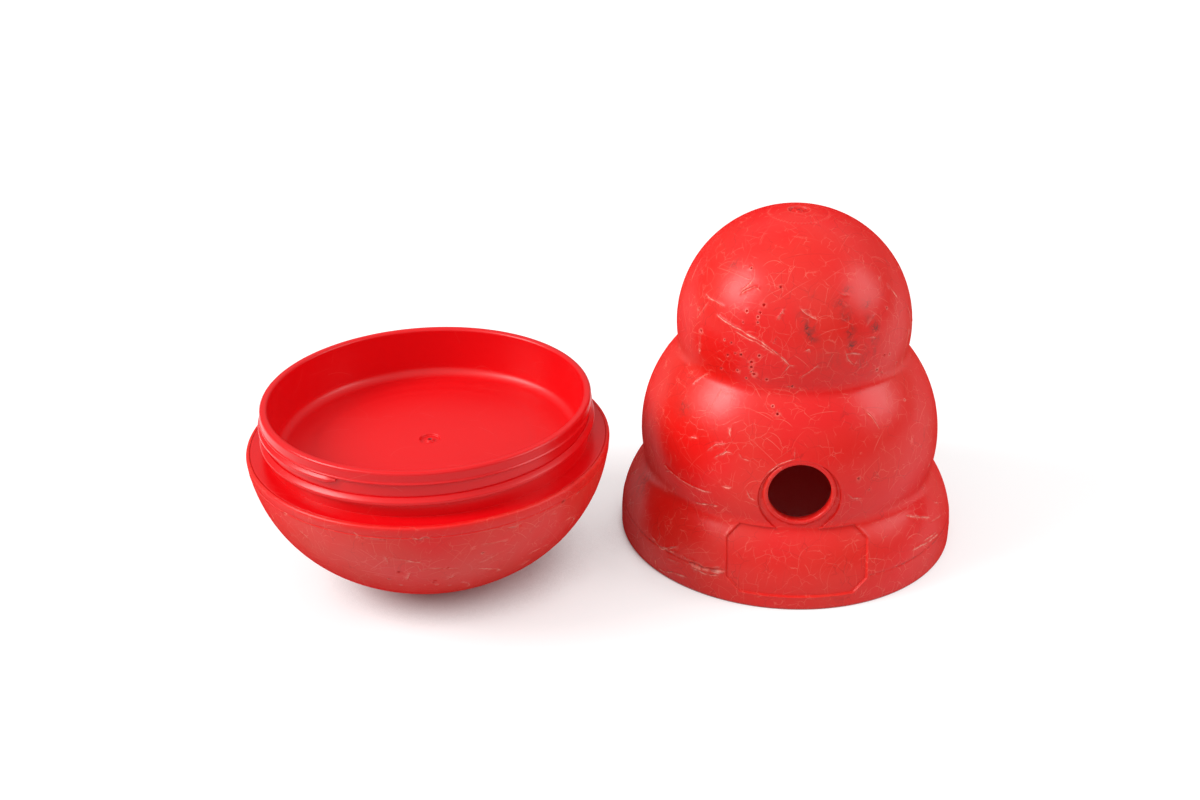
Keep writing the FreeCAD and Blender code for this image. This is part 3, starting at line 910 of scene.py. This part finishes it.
def worn_plastic(name, fresh, faded, fading, scratching, roughness, clean_above=None):
    material, tree, shader = new_material(name)
    mm = in_millimetres(tree)
    fade = add(tree, "Math MULTIPLY", (blotches(tree, mm, 30, 0.3, 0.75), fading))
    if clean_above:
        height = add(tree, "SeparateXYZ", (mm,)).outputs["Z"]
        below = add(tree, "MapRange", (height, clean_above, clean_above - 0.5, 0.5, 1.0))
        fade = add(tree, "Math MULTIPLY", (fade, below))
    colour = add(tree, "Mix", {0: fade, 6: linear(fresh), 7: linear(faded)}, data_type="RGBA")

    pale_arcs = [(8, 4, 20, 0.9), (12, 5, 40, 0.9), (18, 8, 80, 0.9), (27, 15, 200, 0.8)]
    lines = many_scratches(tree, mm, SCRATCH_HALF, pale_arcs)
    worn = add(tree, "MapRange", {0: blotches(tree, mm, 17, 0.42, 0.6), "To Min": 0.25})
    here = add(tree, "Math MULTIPLY", (lines, worn))
    pale = add(tree, "Math MULTIPLY_ADD", (crackle(tree, mm, 4.5, 0.12), 0.65, here))
    colour = cover(tree, colour, pale, scratching, "#FFA28C")
    fine = many_scratches(tree, mm, SCRATCH_HALF, [(13, 5, 40, 0.7), (22, 8, 90, 0.6)])
    dark = add(tree, "Math MAXIMUM", (fine, crackle(tree, mm, 8, SCRATCH_HALF)))
    colour = cover(tree, colour, dark, scratching, "#960C0A")

    # pale of torn plastic, and a painted highlight on the rims of the crown's moulding mark
    scar = add(tree, "Attribute", attribute_name="scar").outputs["Fac"]
    colour = cover(tree, colour, scar, blotches(tree, mm, 1.3, 0.25, 0.5), "#FFBCA8")
    # real dirt, and painted shade in furrows, pits and the crown's moulding mark, both laid over in dark
    # brown-grey
    soil = add(tree, "Attribute", attribute_name="soil").outputs["Fac"]
    cracks = add(tree, "Math MAXIMUM", (crackle(tree, mm, 2.6, 0.25), crackle(tree, mm, 4, 0.3)))
    broken = add(tree, "Math ADD", (blotches(tree, mm, 2.4, 0.35, 0.75, 4.0), cracks))
    darkening = add(tree, "Math MULTIPLY", (soil, broken), use_clamp=True)
    colour = cover(tree, colour, darkening, 0.85, "#46302C")

    patches = blotches(tree, mm, 16, 0.3, 0.7)
    uneven = add(tree, "MapRange", {0: patches, "To Min": roughness - 0.03, "To Max": roughness + 0.06})
    side_on = add(tree, "LayerWeight", {"Blend": 0.5}).outputs["Facing"]
    dull = add(tree, "MapRange", (side_on, 0.45, 0.95, 0.0, 0.6))
    gloss = add(tree, "MapRange", (side_on, 0.4, 0.92, 0.35, 0.1))
    ridges = add(tree, "Math MULTIPLY", (pale, 0.03))
    grain = add(tree, "TexNoise", {"Vector": mm, "Scale": 1 / 1.6, "Detail": 3.0})
    relief = add(tree, "Math MULTIPLY_ADD", (grain, 0.03, ridges))
    fill(tree, shader, {
        "Base Color": colour, "Roughness": add(tree, "Math ADD", (uneven, dull)), "IOR": PLASTIC_IOR,
        "Normal": add(tree, "Bump", {"Height": relief, "Strength": 1.0, "Distance": MM})})
    shader.inputs["Specular IOR Level"].default_value = 0.35  # for an export that drops the link
    fill(tree, shader, {"Specular IOR Level": gloss})
    return material


PARTING_LINE_Z = 52.4
chewed = worn_plastic("chewed_moulded_polypropylene", "#E20A0A", "#DA3226", 0.8, 0.34, 0.31)
handled = worn_plastic("handled_moulded_polypropylene", "#E40C0C", "#D63A2E", 0.95, 0.28, 0.33,
                       PARTING_LINE_Z)
shell.data.materials.append(chewed)
print("materials", chewed.name, "and", handled.name)

# %% [markdown]
# ## The clean red of the cup
# Nothing has chewed the cup, which is inside when the toy is closed. It still has the
# gloss of the polished mould, a few scratches, and faint rings from the turned steel
# core. The rings are a noise along the distance from the axis. Its floor is rubbed dull
# by the treats, and the hole in its moulding mark is darkened with painted shade.

# %% Red plastic that is still clean
clean_red, tree, shader = new_material("clean_moulded_polypropylene")
mm = in_millimetres(tree)
spoke = add(tree, "VectorMath SUBTRACT", (mm, (*base_at, 0)))
level = add(tree, "VectorMath MULTIPLY", (spoke, (1, 1, 0)))
radius = add(tree, "VectorMath LENGTH", (level,))
rings = add(tree, "TexNoise", {"W": radius, "Scale": 1 / 3, "Detail": 3.0}, noise_dimensions="1D")
cloudy = add(tree, "TexNoise", {"Vector": mm, "Scale": 1 / 40, "Detail": 1.0})
both = add(tree, "Math MULTIPLY", (rings, cloudy))
shade = add(tree, "MapRange", (both, 0.1, 0.4))
colour = add(tree, "Mix", {0: shade, 6: linear("#DC0008"), 7: linear("#DE040C")}, data_type="RGBA")
pale = many_scratches(tree, mm, 0.18, [(14, 4, 40, 0.5), (26, 10, 90, 0.5)])
colour = cover(tree, colour, pale, 0.12, "#FF9A90")
# painted shade: dark in the hole of the moulding mark on the cup's floor
painted_hole_shade = add(tree, "MapRange", (radius, 1.0, 0.6, 0.0, 0.8))
colour = add(tree, "Mix", {0: painted_hole_shade, 6: colour, 7: linear("#4A0806")}, data_type="RGBA")
height = add(tree, "SeparateXYZ", (mm,)).outputs["Z"]
rubbed = add(tree, "MapRange", (height, 54.6, 56.5, 0.40, 0.26))
sheen = add(tree, "Math MULTIPLY_ADD", (rings, 0.08, rubbed))
fill(tree, shader, {"Base Color": colour, "Roughness": sheen, "IOR": PLASTIC_IOR, "Specular IOR Level": 0.4})
print("material", clean_red.name, "with", len(tree.nodes), "nodes")

# %% [markdown]
# ## The bowl
# Its underside is part of a ball, on which it rocks. The side bends up to a rounded rim,
# and a thin parting line runs round it 4 mm below: above it the plastic is clean, below
# it is scuffed from the floor. So the bowl is made of two skins as the shell is, and the
# scuffs are cut into the outer one.

# %% Outlines of the bowl
LEDGE_Z = 56.5
FLANGE_T = 2.8
SEAT_Z = LEDGE_Z - FLANGE_T
SEAM_R = 66.0
BOWL_R, BOWL_WIDEST_Z, BOWL_WALL = 67.6, 59.5, 3.5
BALL_R, SIDE_R = 75.0, 55.07
RIM_BEAD = 1.0
ball = np.array([0.0, BALL_R])
side = np.array([BOWL_R - SIDE_R, BOWL_WIDEST_Z])


def bowl_side(z, inset):
    return side[0] + math.sqrt((SIDE_R - inset) ** 2 - (z - side[1]) ** 2)


bead_at = np.array([bowl_side(LEDGE_Z - RIM_BEAD, RIM_BEAD), LEDGE_Z - RIM_BEAD])
bowl_line = [(SEAM_R, SEAT_Z)]
line_to(bowl_line, (SEAM_R, LEDGE_Z))
line_to(bowl_line, (bead_at[0], LEDGE_Z))
arc_to(bowl_line, bead_at, towards(side, bead_at, SIDE_R), 0.2)
arc_to(bowl_line, side, towards(ball, side, BALL_R), 0.5)
arc_to(bowl_line, ball, (0.0, 0.0), 0.5)
bowl_inside = [(SEAM_R, SEAT_Z)]
line_to(bowl_inside, (bowl_side(SEAT_Z, BOWL_WALL), SEAT_Z))
arc_to(bowl_inside, side, towards(ball, side, BALL_R - BOWL_WALL), 0.5)
arc_to(bowl_inside, ball, (0.0, BOWL_WALL), 0.5)
bowl_outer, bowl_inner = Skin(bowl_line, base_at), Skin(bowl_inside, base_at)
print("way down the bowl", round(bowl_outer.s[-1], 1), "mm")

# %% Skins of the bowl with their scuffs
BOWL_FURROWS = [
    ([(-12, 51.9), (-8, 51.6), (-4, 51.8)], 0.3, 0.2),
    ([(3, 52.6), (5, 51.8), (7, 52.7), (9, 51.6)], 0.28, 0.2),
    ([(-14.5, 54.6), (-13.2, 52.4), (-13.8, 50.9)], 0.25, 0.15),
    ([(-41, 52.5), (-38, 51.9)], 0.3, 0.2),
    ([(-35, 47), (-33, 45.6), (-31.5, 43.9)], 0.3, 0.2),
    ([(31, 50.9), (34, 50.2), (36, 50.8)], 0.25, 0.15),
    ([(47, 49.5), (49.5, 48.2)], 0.25, 0.15),
    ([(58, 50.8), (60, 52.2)], 0.3, 0.2),
]
floor_furrows, floor_pits = scattered(21, 60, (-180, 180), (3, 53))
low_furrows = [(points, 0.7 * half, 0.6 * cut) for points, half, cut in floor_furrows
               if 1.5 < points[-1][1] < 54]
bowl_tracks = tracks_of(bowl_outer, BOWL_FURROWS + low_furrows)
line_way = float(bowl_outer.s_at(PARTING_LINE_Z))
bowl_points = Points(bowl_outer)
bowl_points.row(0.0, SPACING, count=RIM_COUNT)
corner = LEDGE_Z - SEAT_Z
special = [corner, *[corner + (bead_at[0] - SEAM_R) + d for d in (0.0, 0.3, 0.6, 0.9, 1.2, 1.5)]]
special += [line_way + d for d in LINE_ROWS]
bowl_points.rows(special, 5.5, bowl_outer.s[-1] - 1.2, 1.6)
add_marks(bowl_points, bowl_tracks, floor_pits)
turn, s, faces = bowl_points.mesh()
depth = 0.9 * mould_line(line_way - s) + 0.05 * smooth((s - line_way) / 0.3)
scar, soil = cut_marks(bowl_outer, turn, s, depth, bowl_tracks, floor_pits, 6)
inside = Points(bowl_inner)
inside.row(0.0, 3, count=RIM_COUNT)
inside.rows([1.0], 2.5, bowl_inner.s[-1] - 2, 3.0)
inner_turn, inner_s, inner_faces = inside.mesh()
bowl = two_skins("bowl_moulding", (bowl_outer, turn, s, depth, faces),
                 (bowl_inner, inner_turn, inner_s, 0.0, inner_faces), scar=scar, soil=soil)
bowl.data.materials.append(handled)

# %% [markdown]
# ## Ribs round the weight
# Six small ribs in the bowl keep the weight in the middle. They repeat round the axis, so
# Geometry Nodes make them: one rib's outline is pulled out to its thickness, and copies
# stand at equal angles.

# %% Build the rib tree
tree, given = new_tree("Weight Ribs", {"Count": "Int", "Thickness": "Float"})
push = add(tree, "CombineXYZ", {"Y": given["Thickness"]})
pulled = add(tree, "ExtrudeMesh", {"Mesh": given["Geometry"], "Offset": push, "Individual": False})
back = add(tree, "FlipFaces", {"Mesh": given["Geometry"]})
both = add(tree, "JoinGeometry", (pulled,))
fill(tree, both, (back,))
closed = add(tree, "MergeByDistance", {"Geometry": both, "Distance": WELD})
half_back = add(tree, "VectorMath SCALE", {0: push, "Scale": -0.5})
centred = add(tree, "Transform", {"Geometry": closed, "Translation": half_back})
spots = add(tree, "Points", {"Count": given["Count"]})
number = add(tree, "InputIndex")
share = add(tree, "Math DIVIDE", (number, given["Count"]))
angle = add(tree, "Math MULTIPLY", (share, TURN_ROUND))
spin = add(tree, "CombineXYZ", {"Z": angle})
copies = add(tree, "InstanceOnPoints", {"Points": spots, "Instance": centred, "Rotation": spin})
moved = add(tree, "Transform", {"Geometry": copies, "Translation": given["Axis"]})
end_tree(tree, moved, given["Material"])

# %% Set the ribs into the bowl
RIB_IN_R, RIB_OUT_R, RIB_TOP_Z = 38.3, 43.2, 17.998
axis = (base_at[0] * MM, base_at[1] * MM, 0.0)
sunk_r = BALL_R - BOWL_WALL + 0.05
foot = [(r, BALL_R - math.sqrt(sunk_r ** 2 - r ** 2)) for r in np.linspace(RIB_IN_R, RIB_OUT_R, 8)]
top_corner = math.sqrt(sunk_r ** 2 - (BALL_R - RIB_TOP_Z) ** 2), RIB_TOP_Z
rib_line = [(r * MM, 0, z * MM) for r, z in [(RIB_IN_R, RIB_TOP_Z), *foot, top_corner]]
rib_start = new_mesh("rib_outline", rib_line, faces=[tuple(range(len(rib_line)))])
ribs = run("weight_ribs", rib_start, tree,
           {"Count": 6, "Thickness": 2.0 * MM, "Axis": axis, "Material": handled})

# %% [markdown]
# ## The screw cup
# A shallow well with a rounded foot, a rounded lip and, outside, the neck that the shell
# screws onto. Its flange is the ledge inside the bowl's rim. It is one outline that goes
# all the way round its wall, so it is a solid moulding. Geometry Nodes spin it like a
# lathe: a grid has one column for each step round and one row for each outline point.

# %% Build the lathe
tree, given = new_tree("Lathe", {"Steps Round": "Int"})
size = add(tree, "AttributeDomainSize", {"Geometry": given["Geometry"]}).outputs["Point Count"]
columns = add(tree, "Math ADD", (given["Steps Round"], 1.0))
grid = add(tree, "MeshGrid", {"Vertices X": columns, "Vertices Y": size})
number = add(tree, "InputIndex")
ratio = add(tree, "Math DIVIDE", (number, size))
column = add(tree, "Math FLOOR", (ratio,))
row = add(tree, "Math MODULO", (number, size))
spot = add(tree, "InputPosition")
pick = add(tree, "SampleIndex", {"Geometry": given["Geometry"]}, data_type="FLOAT_VECTOR")
fill(tree, pick, {"Value": spot, "Index": row})
part_turn = add(tree, "Math DIVIDE", (column, given["Steps Round"]))
angle = add(tree, "Math MULTIPLY", (part_turn, TURN_ROUND))
turned = add(tree, "VectorRotate", {"Vector": pick, "Angle": angle}, rotation_type="Z_AXIS")
moved = add(tree, "VectorMath ADD", (turned, given["Axis"]))
setting = add(tree, "SetPosition", {"Geometry": grid, "Position": moved})
end_tree(tree, add(tree, "MergeByDistance", {"Geometry": setting, "Distance": WELD}), given["Material"])

# %% Spin the cup
LIP_Z, LIP_IN_R, LIP_ROUND = 73.8, 57.8, 1.1
NECK_R, COLLAR_R, FLANGE_R = 60.0, 60.8, 65.96
BEAD_TOP, BEAD_BEND = LIP_Z - 4.05, LIP_Z - 4.35
FLOOR_Z, FLOOR_R, FLOOR_CROWN, FOOT_ROUND = 53.9, 57.28, 0.5, 4.0
UNDER_Z, SPIGOT_Z = FLOOR_Z - 3.0, SEAT_Z - 3.0
TUBE_R, TUBE_IN_R = 30.0, 27.5
EDGE_ROUND = 0.16
edge_r = FLOOR_R - FOOT_ROUND
dome_r = (edge_r ** 2 + FLOOR_CROWN ** 2) / (2 * FLOOR_CROWN)


def floor_height(r):
    return FLOOR_Z + FLOOR_CROWN - (dome_r - math.sqrt(dome_r ** 2 - r ** 2))


def lip_arc(r, end):
    arc_to(cup_line, np.array([r, LIP_Z - LIP_ROUND]), end, 0.2)


cup_line = [(r, floor_height(r)) for r in (0.0, *GATE_ROWS, *np.arange(6.5, edge_r - 0.5, 1.8), edge_r)]
foot_end = (FLOOR_R + 0.1, FLOOR_Z + FOOT_ROUND + 0.1)
arc_to(cup_line, np.array([edge_r, FLOOR_Z + FOOT_ROUND]), foot_end, 0.5)
line_to(cup_line, (LIP_IN_R, LIP_Z - LIP_ROUND), 1.5)
lip_arc(LIP_IN_R + LIP_ROUND, (LIP_IN_R + LIP_ROUND, LIP_Z))
line_to(cup_line, (COLLAR_R - LIP_ROUND, LIP_Z), 0.5)
lip_arc(COLLAR_R - LIP_ROUND, (COLLAR_R, LIP_Z - LIP_ROUND))
line_to(cup_line, (COLLAR_R, LIP_Z - 3.75), 0.6)
line_to(cup_line, (COLLAR_R + 0.2, BEAD_TOP), 0.1)
arc_to(cup_line, np.array([COLLAR_R - 0.1, BEAD_BEND]), (COLLAR_R - 0.1, LIP_Z - 4.65), 0.1)
line_to(cup_line, (NECK_R, LIP_Z - 4.8), 0.1)
flange_edge = FLANGE_R - EDGE_ROUND
for corner in [(NECK_R, LEDGE_Z + 0.12), (NECK_R, LEDGE_Z + 0.02), (NECK_R + 0.02, LEDGE_Z),
               (NECK_R + 0.12, LEDGE_Z), (flange_edge, LEDGE_Z)]:
    line_to(cup_line, corner, 0.8)
arc_to(cup_line, np.array([flange_edge, LEDGE_Z - EDGE_ROUND]), (FLANGE_R, LEDGE_Z - EDGE_ROUND), 0.08)
for corner in [(FLANGE_R, SEAT_Z), (63.3, SEAT_Z), (62.9, SPIGOT_Z), (60.0, SPIGOT_Z), (59.0, UNDER_Z),
               (TUBE_R, UNDER_Z), (TUBE_R, RIB_TOP_Z), (TUBE_IN_R, RIB_TOP_Z), (TUBE_IN_R, UNDER_Z),
               (0.0, UNDER_Z)]:
    line_to(cup_line, corner, 3)
steps = [(k, k + 1) for k in range(len(cup_line) - 1)]
cup_start = new_mesh("cup_outline", [(r * MM, 0, z * MM) for r, z in cup_line], steps)
cup = run("screw_cup", cup_start, tree, {"Steps Round": 300, "Axis": axis, "Material": clean_red})
xyz = np.array([v.co for v in cup.data.vertices]) / MM
px, py = xyz[:, 0] - base_at[0], xyz[:, 1] - base_at[1]
on_floor = (np.hypot(px, py) < 5.5) & (xyz[:, 2] > FLOOR_Z - 0.5)
xyz[on_floor, 2] -= gate_depth(px[on_floor], py[on_floor], 0)
cup.data.vertices.foreach_set("co", (xyz * MM).ravel())

# %% [markdown]
# ## The screw ridges
# One raised ridge winds once and a quarter round the neck, and one inside the skirt of
# the shell catches under it. They follow a rule, so nodes make them: a spiral of given
# radius, pitch and number of turns, with a rounded bar swept along it that ends within a
# few millimetres. The bar's crest is turned outwards for the neck, inwards for the shell.

# %% Build the ridge tree
lengths = ("Radius", "Pitch", "Turns", "Bottom", "Start Angle", "Root Width", "Crest Width",
           "Crest Shift", "Bar Height", "Crest Turn")
tree, given = new_tree("Screw Ridge", dict.fromkeys(lengths, "Float"))
rise = add(tree, "Math MULTIPLY", (given["Pitch"], given["Turns"]))
spiral = add(tree, "CurveSpiral", {
    "Rotations": given["Turns"], "Start Radius": given["Radius"], "End Radius": given["Radius"],
    "Height": rise, "Resolution": 260, "Reverse": True})
along = add(tree, "SplineParameter").outputs["Factor"]
rest = add(tree, "Math SUBTRACT", (1.0, along))
end = add(tree, "Math MINIMUM", (along, rest))
taper = add(tree, "MapRange", {"Value": end, "From Max": 0.007, "To Min": 0.3},
            interpolation_type="SMOOTHSTEP")
swell = add(tree, "SetCurveRadius", {"Curve": spiral, "Radius": taper})
upright = add(tree, "SetCurveNormal", {"Curve": swell}, mode="Z_UP")
bar = add(tree, "CurvePrimitiveQuadrilateral", mode="TRAPEZOID")
fill(tree, bar, {"Bottom Width": given["Root Width"], "Top Width": given["Crest Width"],
                 "Height": given["Bar Height"], "Offset": given["Crest Shift"]})
soft = add(tree, "FilletCurve", {"Curve": bar, "Radius": 0.45 * MM}, mode="POLY")
soft.inputs["Count"].default_value = 4
crest = add(tree, "CombineXYZ", {"Z": given["Crest Turn"]})
aimed = add(tree, "Transform", {"Geometry": soft, "Rotation": crest})
sweep = add(tree, "CurveToMesh", {"Curve": upright, "Profile Curve": aimed, "Scale": taper,
                                  "Fill Caps": True})
spun = add(tree, "CombineXYZ", {"Z": given["Start Angle"]})
lift = add(tree, "CombineXYZ", {"Z": given["Bottom"]})
shift = add(tree, "VectorMath ADD", (given["Axis"], lift))
moved = add(tree, "Transform", {"Geometry": sweep, "Translation": shift, "Rotation": spun})
end_tree(tree, moved, given["Material"])

# %% Wind both ridges
BAR = {"Pitch": 5.9, "Root Width": 4.0, "Crest Width": 1.1, "Crest Shift": -0.55, "Bar Height": 2.1}


def wind(name, at, material, radius, turns, bottom, start, crest_turn):
    values = {label: length * MM for label, length in {**BAR, "Radius": radius, "Bottom": bottom}.items()}
    piece = run(name, bpy.data.meshes.new(name + "_start"), tree, {
        **values, "Turns": turns, "Start Angle": math.radians(start), "Crest Turn": math.radians(crest_turn),
        "Axis": (at[0] * MM, at[1] * MM, 0.0), "Material": material})
    x, y, z = np.array([v.co for v in piece.data.vertices]).T / MM
    r = np.hypot(x - at[0], y - at[1])
    print(name, "radius", np.round([r.min(), r.max()], 2), "z", np.round([z.min(), z.max()], 2))
    return piece


ridge = wind("screw_ridge", base_at, clean_red, 60.85, 1.272, 60.9, 150, -90)
mating = wind("mating_ridge", shell_at, chewed, 61.5, 1.0, 3.4, 40, 90)

# %% [markdown]
# ## The weight
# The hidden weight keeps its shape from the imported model. It only needs its metal: grey
# cast iron with the sandy skin of its mould, dull, with no shine to speak of.

# %% Cast iron for the weight
iron, tree, shader = new_material("sand_cast_iron")
mm = in_millimetres(tree)
skin_colour = add(tree, "Mix", {0: blotches(tree, mm, 9, 0.35, 0.7, 4.0), 6: linear("#3C3B3A"),
                                7: linear("#565350")}, data_type="RGBA")
sand = add(tree, "TexNoise", {"Vector": mm, "Scale": 1 / 0.7, "Detail": 4.0})
bump = add(tree, "Bump", {"Height": sand, "Strength": 0.5, "Distance": 0.2 * MM})
fill(tree, shader, {"Base Color": skin_colour, "Metallic": 0.8, "Roughness": 0.62, "Normal": bump})
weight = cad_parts["ballast_weight"]
weight.data.materials.clear()
weight.data.materials.append(iron)
print("material", iron.name, "with", len(tree.nodes), "nodes")

# %% Each piece rides on its body
for piece, body, slot in ((shell, "shell", "shell_plastic"), (mating, "shell", "shell_plastic"),
                          (bowl, "base", "bowl_plastic"), (ribs, "base", "bowl_plastic"),
                          (cup, "base", "cup_plastic"), (ridge, "base", "cup_plastic")):
    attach(piece, body)
    print(piece.name, "rides on", body)
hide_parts("upper_shell")
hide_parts("outer_bowl")
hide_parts("inner_cup")

# %% [markdown]
# ## Camera, floor and light
# The camera was matched to the outlines of both halves in the photograph: 26.7 degrees
# down, from 0.57 m. The floor is plain and near white. A large soft lamp on each side
# gives a broad highlight left and right on each lobe. The sky is bright above and dark
# towards the horizon, as in a studio, so that the lower flanks stay deep red.

# %% Camera
TURN, PITCH, ROLL = math.radians(2.65), math.radians(26.664), math.radians(-0.769)
CAMERA_AT = (18.3, -489.84, 308.8)
SENSOR_MM, PICTURE_W, FOCAL_PIXELS = 36, 1200, 1437.5
ahead = Vector((-math.sin(TURN) * math.cos(PITCH), math.cos(TURN) * math.cos(PITCH), -math.sin(PITCH)))
right = Vector((math.cos(TURN), math.sin(TURN), 0))
upward = right.cross(ahead)
right, upward = (math.cos(ROLL) * right + math.sin(ROLL) * upward,
                 math.cos(ROLL) * upward - math.sin(ROLL) * right)
lens = bpy.data.cameras.new("camera")
lens.lens = SENSOR_MM * FOCAL_PIXELS / PICTURE_W
lens.sensor_width = SENSOR_MM
lens.clip_start = 0.01
camera = new_object("camera", lens)
turning = Matrix((right, upward, -ahead)).transposed().to_4x4()
camera.matrix_world = Matrix.Translation(Vector(CAMERA_AT) * MM) @ turning
bpy.context.scene.camera = camera
print("lens", round(lens.lens, 2), "mm, camera at", CAMERA_AT)

# %% [markdown]
# ## The floor
# The floor is pale card. Its own colour is a light grey, so that it throws little light
# up at the toy, and the camera and the reflections see it lifted to white. The lift fades
# where something stands close over the floor, so the contact shadows stay. There a faint
# red glow stands for the light that the plastic throws down or lets through.

# %% Floor of pale card
LIFT, GLOW = 0.54, 0.05
CLOSE = 0.13  # metres within which the toy shuts out the sky
corners = [(-15, -15, 0), (15, -15, 0), (15, 15, 0), (-15, 15, 0)]
floor = new_object("floor", new_mesh("floor", corners, faces=[(0, 1, 2, 3)]))
card, tree, matt = new_material("matt_pale_card")
fill(tree, matt, {"Base Color": linear("#BEBEBE"), "Roughness": 0.9, "Specular IOR Level": 0.1})
ray = add(tree, "LightPath").outputs
seen = add(tree, "Math ADD", (ray["Is Camera Ray"], ray["Is Glossy Ray"]))
seen = add(tree, "Math ADD", (seen, ray["Is Transmission Ray"]))
sky = add(tree, "AmbientOcclusion", {"Distance": CLOSE}, samples=16).outputs["AO"]
free = add(tree, "MapRange", (sky, 0.14, 0.38))
lift = add(tree, "Math MULTIPLY", (seen, free))
lift = add(tree, "Math MULTIPLY", (lift, LIFT))
white = add(tree, "Emission", {"Color": (1, 1, 1, 1), "Strength": lift})
shut_in = add(tree, "MapRange", (sky, 0.45, 0.0, 0.0, GLOW))
through = add(tree, "Emission", {"Color": linear("#FF0404"), "Strength": shut_in})
lifted = add(tree, "AddShader", (matt, white))
lit = add(tree, "AddShader", (lifted, through))
fill(tree, tree.nodes["Material Output"], {"Surface": lit})
floor.data.materials.append(card)
print("material", card.name, "with", len(tree.nodes), "nodes")

# %% Sky and lamps
HORIZON, ZENITH, FRONT_FILL = 0.10, 0.72, 0.46
FILL_FROM = (-0.46, -0.77, 0.44)
LAMPS_AIM_AT = Vector((0.02, 0.0, 0.07))
world = bpy.data.worlds.new("studio")
world.use_nodes = True
tree = world.node_tree
way = add(tree, "TexCoord").outputs["Generated"]
up = add(tree, "SeparateXYZ", (way,)).outputs["Z"]
soft = {"interpolation_type": "SMOOTHSTEP"}
top = add(tree, "MapRange", (up, 0.05, 0.75, HORIZON, ZENITH), **soft)
ahead_of = add(tree, "VectorMath DOT_PRODUCT", (way, FILL_FROM))
front_glow = add(tree, "MapRange", (ahead_of, 0.3, 0.95, 0.0, FRONT_FILL), **soft)
strength = add(tree, "Math ADD", (top, front_glow))
fill(tree, tree.nodes["Background"], {"Color": (1, 1, 1, 1), "Strength": strength})
bpy.context.scene.world = world


def soft_lamp(name, azimuth, elevation, size, watts, distance=2.4):
    """A square softbox, placed by its angle right of the front and above the floor."""
    a, e = math.radians(azimuth), math.radians(elevation)
    data = bpy.data.lights.new(name, "AREA")
    data.shape = "SQUARE"
    data.size = size
    data.energy = watts
    way = Vector((math.sin(a) * math.cos(e), -math.cos(a) * math.cos(e), math.sin(e)))
    lamp = new_object(name, data)
    lamp.location = LAMPS_AIM_AT + distance * way
    lamp.rotation_euler = way.to_track_quat("Z", "Y").to_euler()
    print(name, watts, "W from", azimuth, "degrees round and", elevation, "up")


soft_lamp("left_softbox", -76, 36, 1.05, 41.0)
soft_lamp("right_softbox", 82, 29, 1.15, 19.5)
bpy.context.scene.view_settings.view_transform = "Standard"
